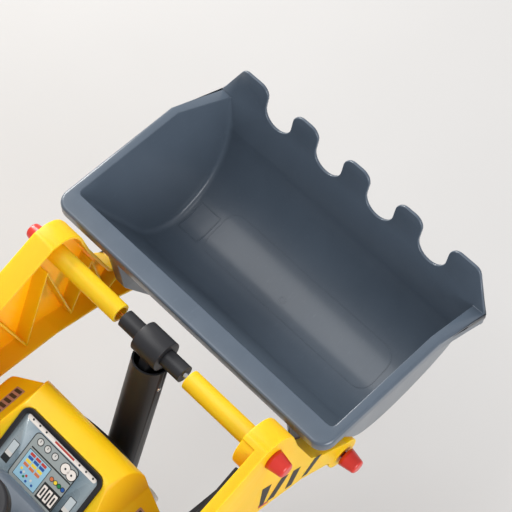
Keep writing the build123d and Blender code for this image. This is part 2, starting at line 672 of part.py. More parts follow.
def rear_form(inset):
    """Seat base with a raised back, every face moved in by inset."""
    profile = [
        (HOOD_REAR - inset, HOOD_BASE - 2 * inset), (HOOD_REAR - inset, BAR_Z - 119 - inset),
        (BAR_X - 296, SEAT_Z - inset), (BAR_X - 458, SEAT_Z - inset),
        (BAR_X - 476, 292 - inset), (REAR_END + 10 + inset, 288 - inset),
        (REAR_END + inset, HOOD_BASE - 2 * inset),
    ]
    side = slab(profile, -REAR_HALF + inset, REAR_HALF - inset, 4)
    plan = FilletPolyline(
        (HOOD_REAR - inset, -62 + inset), (BAR_X - 320, -REAR_HALF + inset),
        (REAR_END + inset, -REAR_HALF + inset), (REAR_END + inset, REAR_HALF - inset),
        (BAR_X - 320, REAR_HALF - inset), (HOOD_REAR - inset, 62 - inset),
        radius=[4, 20, 14, 14, 20, 4], close=True,
    )
    return side & extrude(make_face(plan), amount=400)


def fender():
    """Left mudguard arched over the rear wheel."""
    arch = drum(REAR_AXLE, 102, REAR_HALF - 2, REAR_OUT + 2) - drum(REAR_AXLE, 98, 0, 200)
    lip = drum(REAR_AXLE, 102, REAR_OUT - 1, REAR_OUT + 2) - drum(REAR_AXLE, 95, 0, 200)
    body = arch + lip
    x, z = REAR_AXLE
    return body & slab([(x, z), (x + 150, z + 74), (x + 150, 300), (x - 150, 300), (x - 150, z + 74)], 0, 200)


def rear_body():
    """Yellow seat base with mudguards, open underneath."""
    body = rear_form(0) - rear_form(WALL)
    guard = fender() - rear_form(1)
    return body + guard + flip(guard)


def seat():
    """Black seat pan on the seat base."""
    pad = block(BAR_X - 452, BAR_X - 302, -70, 70, SEAT_Z, SEAT_Z + 14)
    pad = fillet(pad.edges().filter_by(Axis.Z), 18)
    dish = Pos(BAR_X - 377, 0, SEAT_Z + 60) * Rot(90, 0, 0) * Cylinder(54, 100)
    pad -= dish
    return fillet(pad.faces().sort_by(Axis.Z)[0].edges(), 1)


def backrest():
    """Low back pad in front of the raised back."""
    pad = block(BAR_X - 474, BAR_X - 458, -62, 62, SEAT_Z + 2, SEAT_Z + 96)
    pad = fillet(pad.edges().filter_by(Axis.X), 16)
    pad = Pos(BAR_X - 470, 0, SEAT_Z + 14) * Rot(0, -16.7, 0) * Pos(-BAR_X + 470, 0, -SEAT_Z - 14) * pad
    return pad - rear_form(0)


# ---------------------------------------------------------------- backhoe

def hoe_mount():
    """Black block on the rear wall with two lugs for the swing pin."""
    base = block(REAR_END - 12, REAR_END, -44, 44, 84, 168)
    body = fillet(base.edges().filter_by(Axis.X), 8)
    for low in (POST_LOW - 14 - GAP, POST_HIGH + GAP):
        lug = block(POST_X, REAR_END - 6, -18, 18, low, low + 14)
        body += lug + Pos(POST_X, 0, low + 7) * Cylinder(18, 14)
    return body - Pos(POST_X, 0, 130) * Cylinder(HOE_PIN_R, 120)


def swing_pin():
    """Headed vertical pin through the lugs."""
    pin = Pos(POST_X, 0, (POST_LOW + POST_HIGH) / 2) * Cylinder(HOE_PIN_R, POST_HIGH - POST_LOW + 38)
    return pin + Pos(POST_X, 0, POST_HIGH + 20) * Cylinder(7, 4)


def swing_post():
    """Barrel on the swing pin with two ears for the boom."""
    body = Pos(POST_X, 0, (POST_LOW + POST_HIGH) / 2) * Cylinder(15, POST_HIGH - POST_LOW)
    bridge = block(POST_X - 20, POST_X, -FORK_OUT, FORK_OUT, POST_LOW, POST_HIGH)
    body += bridge - drum(BOOM_FOOT, 18, -BOOM_HALF - GAP, BOOM_HALF + GAP)
    for side in (-1, 1):
        ear = drum(BOOM_FOOT, 13, side * FORK_IN, side * FORK_OUT)
        ear += block(BOOM_FOOT[0], POST_X - 10, side * FORK_IN, side * FORK_OUT, POST_LOW, POST_HIGH)
        body += ear
    body -= drum(BOOM_FOOT, HOE_PIN_R, -40, 40)
    body -= drum(BOOM_FOOT, 18, -BOOM_HALF - GAP, BOOM_HALF + GAP)
    return body - Pos(POST_X, 0, 130) * Cylinder(HOE_PIN_R + RUN, 120)


def hoe_boom():
    """Bent boom between the swing post and the stick."""
    knee = ((BOOM_FOOT[0] + BOOM_TOP[0]) / 2 - 14, (BOOM_FOOT[1] + BOOM_TOP[1]) / 2 + 18)
    body = along(BOOM_FOOT, knee, 12, -BOOM_HALF, BOOM_HALF)
    body += along(knee, BOOM_TOP, 12, -BOOM_HALF, BOOM_HALF)
    body -= drum(BOOM_FOOT, HOE_PIN_R + RUN, -40, 40)
    return body - drum(BOOM_TOP, HOE_PIN_R + RUN, -40, 40)


def hoe_stick():
    """Forked stick: two cheeks past the boom joined by a solid lower beam."""
    run = hypot(STICK_END[0] - BOOM_TOP[0], STICK_END[1] - BOOM_TOP[1])
    step = ((STICK_END[0] - BOOM_TOP[0]) / run, (STICK_END[1] - BOOM_TOP[1]) / run)
    join = (BOOM_TOP[0] + step[0] * 54, BOOM_TOP[1] + step[1] * 54)
    body = along(join, STICK_END, 11, -BOOM_HALF, BOOM_HALF)
    for side in (-1, 1):
        body += along(BOOM_TOP, join, 12, side * FORK_IN, side * FORK_OUT)
        body += drum(join, 12, side * (BOOM_HALF - 1), side * FORK_OUT)
    body -= drum(BOOM_TOP, 14.5, -BOOM_HALF - GAP, BOOM_HALF + GAP)
    body -= drum(BOOM_TOP, HOE_PIN_R, -40, 40)
    return body - drum(STICK_END, HOE_PIN_R + RUN, -40, 40)


def hoe_bucket():
    """Small digging bucket with two ears and four teeth, open towards the machine."""
    x, z = STICK_END
    inner = [(x + 30, z - 14), (x - 22, z - 20), (x - 30, z - 62), (x + 4, z - 92), (x + 46, z - 70)]
    cavity = make_face(FilletPolyline(*inner, radius=[1, 12, 16, 16, 1], close=True))
    outer = offset(cavity, amount=WALL, kind=Kind.INTERSECTION)
    body = extrude(Plane.XZ * outer, amount=HOE_HALF, both=True)
    body -= extrude(Plane.XZ * cavity, amount=HOE_HALF - WALL, both=True)
    mouth = [(x + 26, z - 2), (x + 90, z - 2), (x + 90, z - 100), (x + 44, z - 76)]
    body -= slab(mouth, -HOE_HALF - 5, HOE_HALF + 5)
    for place in (-33, -11, 11, 33):
        tooth = [(x + 40, z - 77), (x + 44, z - 70), (x + 62, z - 62), (x + 46, z - 79)]
        body += slab(tooth, place - 6, place + 6)
    for side in (-1, 1):
        ear = along(STICK_END, (x - 8, z - 22), 10, side * FORK_IN, side * FORK_OUT)
        body += ear - extrude(Plane.XZ * cavity, amount=HOE_HALF - WALL, both=True)
    return body - drum(STICK_END, HOE_PIN_R, -40, 40)


def hoe_pin(place):
    """Steel pin across a backhoe fork, with a flat head each side."""
    half = FORK_OUT + 1.5
    pin = drum(place, HOE_PIN_R, -half, half)
    return pin + drum(place, 6.5, half, half - 1.5) + drum(place, 6.5, -half, -half + 1.5)


# ---------------------------------------------------------------- all nodes

def loader_nodes():
    """Arms, bucket, cross-bar, strut and tilt linkage."""
    bar = (BAR_X, BAR_Z)
    cap_bar = cap(bar, ARM_OUT + 0.2, ROD_R, 10)
    cap_pivot = cap(BUCKET_PIVOT, ARM_OUT + 4, SHAFT_R, 8)
    cap_root = cap(ARM_ROOT, ARM_OUT + 1, STUB_R, 8)
    stub = drum(ARM_ROOT, STUB_R, REAR_HALF, ARM_OUT + 9)
    sleeve = ring(bar, SLEEVE_R, ROD_R, SLEEVE_IN, SLEEVE_OUT)
    lever_dir = (CRANK[0] / hypot(*CRANK), CRANK[1] / hypot(*CRANK))
    lever_end = (ARM_ROOT[0] + lever_dir[0] * LEVER_REACH, ARM_ROOT[1] + lever_dir[1] * LEVER_REACH)
    lever = along(ARM_ROOT, lever_end, 9, -LEVER_OUT, -LEVER_IN)
    lever += drum(ARM_ROOT, 13, -LEVER_OUT, -LEVER_IN + 5) - drum(ARM_ROOT, 13, -LEVER_IN + 5, -90)
    lever -= drum(ARM_ROOT, STUB_R + RUN, -130, -90)
    lever -= drum(ROOT_CRANK, LINK_PIN_R, -130, -90)
    link = along(ROOT_CRANK, HORN, 6, -LINK_OUT, -LINK_IN)
    for end in (ROOT_CRANK, HORN):
        link += drum(end, 8, -LINK_OUT, -LINK_IN)
        link -= drum(end, LINK_PIN_R + RUN, -130, -90)
    handle = lift_handle()
    left_grip = grip(spot(-286, 40), (46, -31)) - handle
    back = (-lever_dir[0] * 56, -lever_dir[1] * 56)
    right_grip = flip(grip(lever_end, back)) - lever
    return {
        "bucket": bucket(),
        "bucket_shaft": drum(BUCKET_PIVOT, SHAFT_R, -ARM_OUT - 12, ARM_OUT + 12),
        "bucket_caps": pair(cap_pivot),
        "arm_left": arm(LEFT_UNDER, ARM_IN),
        "arm_right": flip(arm(RIGHT_UNDER, RIGHT_INNER)),
        "arm_guard": arm_guard(),
        "cross_bar": drum(bar, ROD_R, -ARM_OUT - 10, ARM_OUT + 10),
        "bar_sleeves": pair(sleeve),
        "bar_caps": pair(cap_bar),
        "arm_stubs": pair(stub),
        "arm_root_caps": pair(cap_root),
        "strut_eye": strut_eye(),
        "strut_barrel": strut_barrel(),
        "strut_cross_pin": strut_cross_pin(),
        "strut_rod": strut_rod(),
        "strut_foot_pin": drum(FOOT, FOOT_PIN_R, -28, 28),
        "tilt_lever": lever,
        "tilt_grip": right_grip,
        "tilt_link": link,
        "tilt_lever_pin": drum(ROOT_CRANK, LINK_PIN_R, -LEVER_OUT, -LINK_IN + 1),
        "tilt_bucket_pin": drum(HORN, LINK_PIN_R, -LEVER_OUT, -LINK_IN + 1),
        "lift_handle": handle,
        "lift_grip": left_grip,
    }


def body_nodes():
    """Hood, chassis, dash, seat and everything screwed to them."""
    screws = [body_screw(x, y, PLATE_LOW + 1, 22) for x, y in hood_screw_places()]
    lamps = headlamps()
    grille = front_grille()
    for lamp in lamps:
        grille -= lamp
    return {
        "hood": hood(),
        "dash_bezel": dash_bezel(),
        "dash_panel": dash_panel(),
        "front_grille": grille,
        "headlamps": Compound(children=lamps),
        "chassis": chassis(),
        "body_screws": Compound(children=screws),
        "column_shroud": column_shroud(),
        "rear_body": rear_body(),
        "seat": seat(),
        "backrest": backrest(),
        "hoe_mount": hoe_mount(),
        "rear_axle": drum(REAR_AXLE, REAR_AXLE_R, -REAR_OUT - 9, REAR_OUT + 9),
    }


def steering_nodes():
    """Everything that turns with the steering wheel."""
    return {
        "steering_wheel": steering_wheel(),
        "steering_column": steering_column(),
        "horn_button": horn_button(),
        "horn_spring": horn_spring(),
        "front_bracket": front_bracket(),
        "front_axle": drum(FRONT_AXLE, FRONT_AXLE_R, -FRONT_OUT - 9, FRONT_OUT + 9),
    }


def wheel_nodes():
    """Four wheels with their rim discs and hub caps."""
    nodes = {}
    sets = {
        "front": (FRONT_AXLE, FRONT_R, FRONT_IN, FRONT_OUT, FRONT_AXLE_R),
        "rear": (REAR_AXLE, REAR_R, REAR_IN, REAR_OUT, REAR_AXLE_R),
    }
    for name, (place, radius, inner, outer, axle_radius) in sets.items():
        tyre = wheel(place, radius, inner, outer, axle_radius)
        disc = rim_disc(place, radius, outer, axle_radius)
        nodes[f"{name}_wheel_left"] = tyre
        nodes[f"{name}_wheel_right"] = flip(tyre)
        nodes[f"{name}_rim_left"] = disc
        nodes[f"{name}_rim_right"] = flip(disc)
        nodes[f"{name}_axle_caps"] = pair(cap(place, outer + GAP, axle_radius, 9))
    return nodes


def hoe_nodes():
    """Backhoe at the rear."""
    return {
        "swing_pin": swing_pin(),
        "swing_post": swing_post(),
        "hoe_boom": hoe_boom(),
        "hoe_stick": hoe_stick(),
        "hoe_bucket": hoe_bucket(),
        "boom_pin": hoe_pin(BOOM_FOOT),
        "stick_pin": hoe_pin(BOOM_TOP),
        "hoe_bucket_pin": hoe_pin(STICK_END),
    }


for group in (loader_nodes(), body_nodes(), steering_nodes(), wheel_nodes(), hoe_nodes()):
    for node, shape in group.items():
        export_step(shape, f"parts/{node}.step")
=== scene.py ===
import json
from math import atan2, cos, hypot, pi, radians, sin

import bmesh
import bpy
from mathutils import Matrix, Vector
from mathutils.bvhtree import BVHTree


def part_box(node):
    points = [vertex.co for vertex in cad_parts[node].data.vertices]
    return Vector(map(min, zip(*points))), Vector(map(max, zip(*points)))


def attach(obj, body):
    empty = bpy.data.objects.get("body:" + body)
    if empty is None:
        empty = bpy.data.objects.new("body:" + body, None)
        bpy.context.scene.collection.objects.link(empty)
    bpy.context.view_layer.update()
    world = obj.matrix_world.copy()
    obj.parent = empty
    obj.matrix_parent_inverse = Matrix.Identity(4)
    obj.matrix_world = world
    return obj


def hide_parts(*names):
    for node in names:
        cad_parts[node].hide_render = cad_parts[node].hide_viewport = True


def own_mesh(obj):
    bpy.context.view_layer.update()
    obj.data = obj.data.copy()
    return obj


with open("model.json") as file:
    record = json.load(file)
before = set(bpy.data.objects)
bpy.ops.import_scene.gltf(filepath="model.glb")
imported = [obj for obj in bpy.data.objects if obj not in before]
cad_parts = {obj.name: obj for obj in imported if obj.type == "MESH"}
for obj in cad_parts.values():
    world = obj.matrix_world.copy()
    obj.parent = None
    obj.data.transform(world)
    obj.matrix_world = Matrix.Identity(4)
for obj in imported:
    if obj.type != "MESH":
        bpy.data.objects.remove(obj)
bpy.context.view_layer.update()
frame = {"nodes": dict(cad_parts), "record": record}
BODY_OF = {n: b for b, nodes in frame["record"]["behaviour"]["bodies"].items() for n in nodes}
SLOT_OF = {s["node"]: s["material_slot"] for s in frame["record"]["subparts"]}

MM = 0.001


def middle(node):
    """Centre of a CAD node's box."""
    low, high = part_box(node)
    return (low + high) / 2


BAR = middle("cross_bar")


def at(x, y, z):
    """Place in metres from millimetres measured from the middle of the cross-bar."""
    return BAR + Vector((x, y, z)) * MM


# ---------------------------------------------------------------- camera, light and floor

CAMERA_FROM_BAR = (-386.2, -509.6, 1347.0)
CAMERA_AZIMUTH = radians(45.17)
CAMERA_PITCH = radians(61.83)
CAMERA_ROLL = radians(0.43)
CAMERA_LENS = 123.0
CAMERA_SENSOR = 36.0


def add_camera():
    """Camera behind the toy's right side, looking steeply down over the hood and bucket."""
    data = bpy.data.cameras.new("camera")
    data.lens = CAMERA_LENS
    data.sensor_width = CAMERA_SENSOR
    camera = bpy.data.objects.new("camera", data)
    heading = Vector((cos(CAMERA_AZIMUTH), sin(CAMERA_AZIMUTH), 0))
    ahead = heading * cos(CAMERA_PITCH) - Vector((0, 0, sin(CAMERA_PITCH)))
    right = Vector((sin(CAMERA_AZIMUTH), -cos(CAMERA_AZIMUTH), 0))
    up = right.cross(ahead)
    side = right * cos(CAMERA_ROLL) + up * sin(CAMERA_ROLL)
    top = up * cos(CAMERA_ROLL) - right * sin(CAMERA_ROLL)
    turn = Matrix((side, top, -ahead)).transposed().to_4x4()
    camera.matrix_world = Matrix.Translation(at(*CAMERA_FROM_BAR)) @ turn
    bpy.context.scene.collection.objects.link(camera)
    bpy.context.scene.camera = camera


def add_area_light(name, place, target, size, power, tint):
    """Soft area light at place, aimed at target."""
    data = bpy.data.lights.new(name, "AREA")
    data.shape = "RECTANGLE"
    data.size, data.size_y = size
    data.energy = power
    data.color = tint
    light = bpy.data.objects.new(name, data)
    light.location = place
    light.rotation_euler = (Vector(target) - Vector(place)).to_track_quat("-Z", "Y").to_euler()
    bpy.context.scene.collection.objects.link(light)


def add_lights():
    """Soft key from the front left, a softbox high above the bucket, a weak fill, and a pale world."""
    bpy.context.scene.view_settings.view_transform = "Standard"
    centre = BAR * 0.5
    add_area_light("key", (1.0, 2.3, 1.6), centre, (1.2, 1.2), 86, (1.0, 0.985, 0.96))
    add_area_light("softbox", (0.05, 0.75, 2.4), BAR, (1.3, 1.3), 12, (1.0, 1.0, 1.0))
    add_area_light("fill", (0.0, -2.3, 1.3), centre, (1.5, 1.5), 46, (0.97, 0.98, 1.0))
    world = bpy.data.worlds.new("studio")
    bpy.context.scene.world = world
    world.use_nodes = True
    background = world.node_tree.nodes["Background"]
    background.inputs["Color"].default_value = (0.94, 0.95, 1.0, 1)
    background.inputs["Strength"].default_value = 0.6


# ---------------------------------------------------------------- materials

class Nodes:
    """Short hand for building one material's node tree."""

    def __init__(self, name):
        self.material = bpy.data.materials.new(name)
        self.material.use_nodes = True
        self.tree = self.material.node_tree
        self.shader = self.tree.nodes["Principled BSDF"]
        self.place = self.add("ShaderNodeTexCoord").outputs["Object"]

    def add(self, kind, **values):
        node = self.tree.nodes.new(kind)
        for key, value in values.items():
            setattr(node, key, value)
        return node

    def link(self, source, target):
        self.tree.links.new(source, target)

    def noise(self, scale, detail=3.0, rough=0.55, stretch=None):
        """Noise in object space, scale in features per metre."""
        node = self.add("ShaderNodeTexNoise")
        node.inputs["Scale"].default_value = scale
        node.inputs["Detail"].default_value = detail
        node.inputs["Roughness"].default_value = rough
        source = self.place
        if stretch:
            mapping = self.add("ShaderNodeMapping")
            mapping.inputs["Scale"].default_value = stretch
            self.link(self.place, mapping.inputs["Vector"])
            source = mapping.outputs["Vector"]
        self.link(source, node.inputs["Vector"])
        return node.outputs["Fac"]

    def spread(self, source, low, high, start=0.3, end=0.7):
        """Maps a 0 to 1 value onto low to high."""
        node = self.add("ShaderNodeMapRange")
        node.inputs["From Min"].default_value = start
        node.inputs["From Max"].default_value = end
        node.inputs["To Min"].default_value = low
        node.inputs["To Max"].default_value = high
        self.link(source, node.inputs["Value"])
        return node.outputs["Result"]

    def mix(self, factor, first, second):
        """Mixes two colours, each an RGB triple or a socket."""
        node = self.add("ShaderNodeMix", data_type="RGBA")
        self.link(factor, node.inputs["Factor"])
        for value, socket in ((first, node.inputs[6]), (second, node.inputs[7])):
            if isinstance(value, tuple):
                socket.default_value = (*value, 1)
            else:
                self.link(value, socket)
        return node.outputs[2]

    def bump(self, source, height, strength=1.0, after=None):
        """Bump of a height in metres, on top of an earlier normal if given."""
        node = self.add("ShaderNodeBump")
        node.inputs["Distance"].default_value = height
        node.inputs["Strength"].default_value = strength
        self.link(source, node.inputs["Height"])
        if after is not None:
            self.link(after, node.inputs["Normal"])
        return node.outputs["Normal"]


def tone(colour, factor):
    """A colour made lighter or darker."""
    return tuple(min(1.0, channel * factor) for channel in colour)


def plastic(name, colour, rough=0.38, grain=0.000012, grain_scale=1600.0, coat=0.0, wander=0.05, glow=0.0):
    """Moulded plastic: slow colour drift, uneven gloss and fine grain, with light passing a little way in."""
    n = Nodes(name)
    drift = n.noise(9.0, 2.0)
    base = n.mix(drift, tone(colour, 1 - wander), tone(colour, 1 + wander))
    n.link(base, n.shader.inputs["Base Color"])
    smear = n.spread(n.noise(26.0, 4.0), rough - 0.07, rough + 0.08, 0.0, 1.0)
    n.link(smear, n.shader.inputs["Roughness"])
    n.link(n.bump(n.noise(grain_scale, 2.0), grain), n.shader.inputs["Normal"])
    n.shader.inputs["Coat Weight"].default_value = coat
    n.shader.inputs["Coat Roughness"].default_value = 0.2
    n.shader.inputs["IOR"].default_value = 1.46
    n.shader.inputs["Subsurface Weight"].default_value = glow
    n.shader.inputs["Subsurface Scale"].default_value = 0.02
    n.shader.inputs["Subsurface Radius"].default_value = (1.0, 0.45, 0.05)
    return n.material


def bucket_plastic(name, colour):
    """Grey-blue moulding with faint upright streaks where the plastic flowed, and small scuffs."""
    n = Nodes(name)
    streak = n.noise(40.0, 3.0, stretch=(1.0, 1.0, 0.08))
    base = n.mix(streak, tone(colour, 0.93), tone(colour, 1.08))
    scuff = n.spread(n.noise(420.0, 3.0, stretch=(0.25, 1.0, 1.0)), 0, 0.5, 0.6, 0.8)
    n.link(n.mix(scuff, base, tone(colour, 1.3)), n.shader.inputs["Base Color"])
    n.link(n.spread(streak, 0.25, 0.37, 0.0, 1.0), n.shader.inputs["Roughness"])
    n.link(n.bump(n.noise(1900.0, 2.0), 0.000006), n.shader.inputs["Normal"])
    n.shader.inputs["Coat Weight"].default_value = 0.25
    n.shader.inputs["Coat Roughness"].default_value = 0.16
    n.shader.inputs["IOR"].default_value = 1.5
    return n.material


def panel_plastic(name, centre, edge):
    """Printed sheet that fades from a grey-blue middle to paler sides."""
    n = Nodes(name)
    parts = n.add("ShaderNodeSeparateXYZ")
    n.link(n.place, parts.inputs["Vector"])
    side = n.add("ShaderNodeMath", operation="ABSOLUTE")
    n.link(parts.outputs["Y"], side.inputs[0])
    fade = n.spread(side.outputs["Value"], 0, 1, 0.026, 0.047)
    n.link(n.mix(fade, centre, edge), n.shader.inputs["Base Color"])
    n.link(n.spread(n.noise(60.0), 0.22, 0.34), n.shader.inputs["Roughness"])
    n.shader.inputs["Coat Weight"].default_value = 0.5
    n.shader.inputs["Coat Roughness"].default_value = 0.1
    return n.material


def steel(name, colour=(0.66, 0.66, 0.67), rough=0.24):
    """Drawn bright steel with fine streaks along the rod."""
    n = Nodes(name)
    streak = n.noise(900.0, 3.0, stretch=(1.0, 0.06, 1.0))
    base = n.mix(n.spread(streak, 0, 1), tone(colour, 0.86), tone(colour, 1.1))
    n.link(base, n.shader.inputs["Base Color"])
    n.link(n.spread(streak, rough - 0.06, rough + 0.12), n.shader.inputs["Roughness"])
    n.link(n.bump(streak, 0.00001), n.shader.inputs["Normal"])
    n.shader.inputs["Metallic"].default_value = 1.0
    return n.material


YELLOW = (1.0, 0.50, 0.003)
SLATE = (0.078, 0.102, 0.132)
BLACK = (0.016, 0.016, 0.018)
RED = (0.62, 0.03, 0.018)

PAINT = {
    "yellow_plastic": plastic("yellow_plastic", YELLOW, 0.42, wander=0.03, glow=0.5),
    "slate_plastic": bucket_plastic("slate_plastic", SLATE),
    "black_plastic": plastic("black_plastic", BLACK, 0.42, grain=0.00003),
    "tyre_black": plastic("tyre_black", (0.021, 0.021, 0.023), 0.5, grain=0.00005, grain_scale=900),
    "grip_rubber": plastic("grip_rubber", (0.02, 0.02, 0.02), 0.7, grain=0.00007, grain_scale=700),
    "red_plastic": plastic("red_plastic", RED, 0.3, coat=0.3),
    "bright_steel": steel("bright_steel"),
    "panel_print": panel_plastic("panel_print", (0.13, 0.185, 0.22), (0.36, 0.42, 0.44)),
    "lamp_clear": plastic("lamp_clear", (0.78, 0.78, 0.72), 0.12, grain=0.000005, coat=0.6),
}

INK_COLOURS = {
    "cream": (0.80, 0.73, 0.66),
    "grey": (0.30, 0.33, 0.32),
    "dark": (0.018, 0.02, 0.02),
    "brown": (0.012, 0.007, 0.004),
    "pale": (0.62, 0.60, 0.56),
    "sky": (0.30, 0.52, 0.64),
    "red": (0.50, 0.055, 0.04),
    "yellow": (0.85, 0.62, 0.05),
    "green": (0.02, 0.20, 0.06),
    "blue": (0.02, 0.09, 0.33),
    "orange": (0.62, 0.17, 0.06),
    "silver": (0.50, 0.55, 0.56),
    "rose": (0.36, 0.20, 0.17),
}
INK = {name: plastic("ink_" + name, colour, 0.42, grain=0.000004) for name, colour in INK_COLOURS.items()}


FLOOR_HALF = 8


def floor_material():
    """Pale studio floor with a faint mottled tone."""
    n = Nodes("studio_floor")
    n.link(n.mix(n.noise(3.0), (0.50, 0.49, 0.475), (0.54, 0.53, 0.515)), n.shader.inputs["Base Color"])
    n.shader.inputs["Roughness"].default_value = 0.85
    return n.material


def add_floor():
    """Plain pale floor under the wheels."""
    mesh = bpy.data.meshes.new("floor")
    corners = [(x * FLOOR_HALF, y * FLOOR_HALF, 0) for x, y in ((-1, -1), (1, -1), (1, 1), (-1, 1))]
    mesh.from_pydata(corners, [], [(0, 1, 2, 3)])
    floor = bpy.data.objects.new("floor", mesh)
    floor.data.materials.append(floor_material())
    bpy.context.scene.collection.objects.link(floor)


# ---------------------------------------------------------------- pieces from the CAD shapes

MERGE_GAP = 0.00002
FLAT_ANGLE = radians(0.6)
SHAPE_SMOOTH = 50


def finish_piece(name, bm, body, materials, nodes=(), smooth=38):
    """Turns a bmesh into a piece of the toy."""
    mesh = bpy.data.meshes.new(name)
    bm.to_mesh(mesh)
    bm.free()
    for material in materials:
        mesh.materials.append(material)
    piece = bpy.data.objects.new(name, mesh)
    bpy.context.scene.collection.objects.link(piece)
    mesh.shade_smooth()
    mesh.set_sharp_from_angle(angle=radians(smooth))
    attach(piece, body)
    if nodes:
        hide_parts(*nodes)
    return piece


def clean_copy(node):
    """The CAD shape of a node as a bmesh with its flat faces joined."""
    bm = bmesh.new()
    bm.from_mesh(frame["nodes"][node].data)
    bmesh.ops.remove_doubles(bm, verts=bm.verts, dist=MERGE_GAP)
    bmesh.ops.dissolve_limit(bm, angle_limit=FLAT_ANGLE, verts=bm.verts, edges=bm.edges)
    return bm


def sharp_edges(bm, angle=34):
    """Edges whose two faces meet at more than angle degrees."""
    return [e for e in bm.edges if len(e.link_faces) == 2 and e.calc_face_angle(0) > radians(angle)]


def round_edges(bm, edges, width, segments):
    """Rounds edges to a width in millimetres."""
    bmesh.ops.bevel(
        bm, geom=edges, offset=width * MM, segments=segments, profile=0.6, affect="EDGES",
        clamp_overlap=False, harden_normals=False,
    )


def edge_middle(edge):
    """Point halfway along an edge."""
    return (edge.verts[0].co + edge.verts[1].co) / 2


def soften(node, width, segments=2):
    """The CAD shape of a node with its sharp edges rounded, standing for that node."""
    bm = clean_copy(node)
    if node == "bucket":
        round_bucket_rim(bm)
        round_bucket_creases(bm)
    if node == "steering_wheel":
        shorten_ring(bm)
    if width:
        round_edges(bm, sharp_edges(bm), width, segments)
    low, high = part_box(node)
    for vert in bm.verts:
        vert.co = Vector(min(max(vert.co[i], low[i]), high[i]) for i in range(3))
    bmesh.ops.triangulate(bm, faces=[f for f in bm.faces if len(f.verts) > 4])
    slot = SLOT_OF[node]
    return finish_piece(node + "_shape", bm, BODY_OF[node], [PAINT[slot]], [node], SHAPE_SMOOTH)


STEER_LEAN = radians(8.75)
COLUMN_FOOT = at(-175.5, 0, -293)
RING_END, RING_INSIDE = radians(53), 0.072
RING_ROUND, RING_SEGMENTS = 4.0, 3


def shorten_ring(bm):
    """Takes the hand ring's two ends back from the dash and closes them with rounded caps."""
    ahead = Vector((cos(STEER_LEAN), 0, sin(STEER_LEAN)))
    for side in (1, -1):
        near = []
        for face in bm.faces:
            spots = [v.co - COLUMN_FOOT for v in face.verts]
            beyond_spokes = all(hypot(p.dot(ahead), p.y) > RING_INSIDE for p in spots)
            if beyond_spokes and all(p.y * side > 0 and p.dot(ahead) > 0 for p in spots):
                near.append(face)
        edges = dict.fromkeys(e for f in near for e in f.edges)
        verts = dict.fromkeys(v for f in near for v in f.verts)
        facing = ahead * sin(RING_END) - Vector((0, side * cos(RING_END), 0))
        bmesh.ops.bisect_plane(
            bm, geom=near + list(edges) + list(verts),
            plane_co=COLUMN_FOOT, plane_no=facing, clear_outer=True,
        )
    open_edges = [e for e in bm.edges if len(e.link_faces) == 1]
    caps = bmesh.ops.holes_fill(bm, edges=open_edges, sides=0)["faces"]
    end_edges = dict.fromkeys(e for face in caps for e in face.edges)
    round_edges(bm, list(end_edges), RING_ROUND, RING_SEGMENTS)


RIM_ROUND, RIM_SEGMENTS = 3.2, 4
RIM_DEPTH = 0.16
RIM_SIDE, RIM_BACK = 0.0135, 0.08
RIM_BACK_HEIGHT = 0.004


def round_bucket_rim(bm):
    """Large rounding along the outer top edge of the bucket's rim."""
    low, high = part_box("bucket")
    middle_x = (low.x + high.x) / 2
    chosen = []
    for edge in sharp_edges(bm, 60):
        up = [f for f in edge.link_faces if f.normal.z > 0.8]
        wall = [f for f in edge.link_faces if abs(f.normal.z) < 0.3]
        spot = edge_middle(edge)
        if not up or not wall or spot.z < high.z - RIM_DEPTH:
            continue
        outward = Vector((spot.x - middle_x, spot.y))
        at_side = abs(spot.y) > high.y - RIM_SIDE
        at_back = spot.x < low.x + RIM_BACK and abs(spot.z - BAR.z) < RIM_BACK_HEIGHT
        if wall[0].normal.xy.dot(outward) > 0 and (at_side or at_back):
            chosen.append(edge)
    round_edges(bm, chosen, RIM_ROUND, RIM_SEGMENTS)


CREASE_ROUND, CREASE_SEGMENTS = 6.0, 5
CREASE_NEAR, CREASE_FAR = 0.12, 0.162
BUCKET_INSIDE = Vector((BAR.x + 0.15, 0, BAR.z - 0.06))


def round_bucket_creases(bm):
    """Large rounding where the bucket's end walls meet its trough."""
    chosen = []
    for edge in sharp_edges(bm, 40):
        spot = edge_middle(edge)
        if not all(face.normal.dot(BUCKET_INSIDE - spot) > 0 for face in edge.link_faces):
            continue
        ends = [f for f in edge.link_faces if abs(f.normal.y) > 0.8]
        if len(ends) == 1 and not edge.is_convex and CREASE_NEAR < abs(spot.y) < CREASE_FAR:
            chosen.append(edge)
    round_edges(bm, chosen, CREASE_ROUND, CREASE_SEGMENTS)


SOFT_EDGES = {
    0.9: ("bucket", "hood", "rear_body", "seat", "backrest", "chassis"),
    0.6: ("arm_left", "arm_right", "hoe_bucket", "hoe_boom", "hoe_stick", "hoe_mount", "column_shroud"),
    0.5: ("tilt_lever", "lift_handle", "strut_eye", "front_bracket", "swing_post"),
}


def close_spring(piece):
    """Gives the horn's spring piece a mesh of its own."""
    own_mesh(piece)


def dress_cad():
    """Every CAD node gets its finish, and the large mouldings get rounded edges."""
    widths = {node: width for width, nodes in SOFT_EDGES.items() for node in nodes}
    for node, thing in frame["nodes"].items():
        thing.data.materials.clear()
        thing.data.materials.append(PAINT[SLOT_OF[node]])
        piece = soften(node, widths.get(node, 0))
        if node == "horn_spring":
            close_spring(piece)


# ---------------------------------------------------------------- printed sheets

def disc(u, v, radius, sides=28):
    """Round outline."""
    turns = [2 * pi * i / sides for i in range(sides)]
    return [(u + radius * cos(turn), v + radius * sin(turn)) for turn in turns]


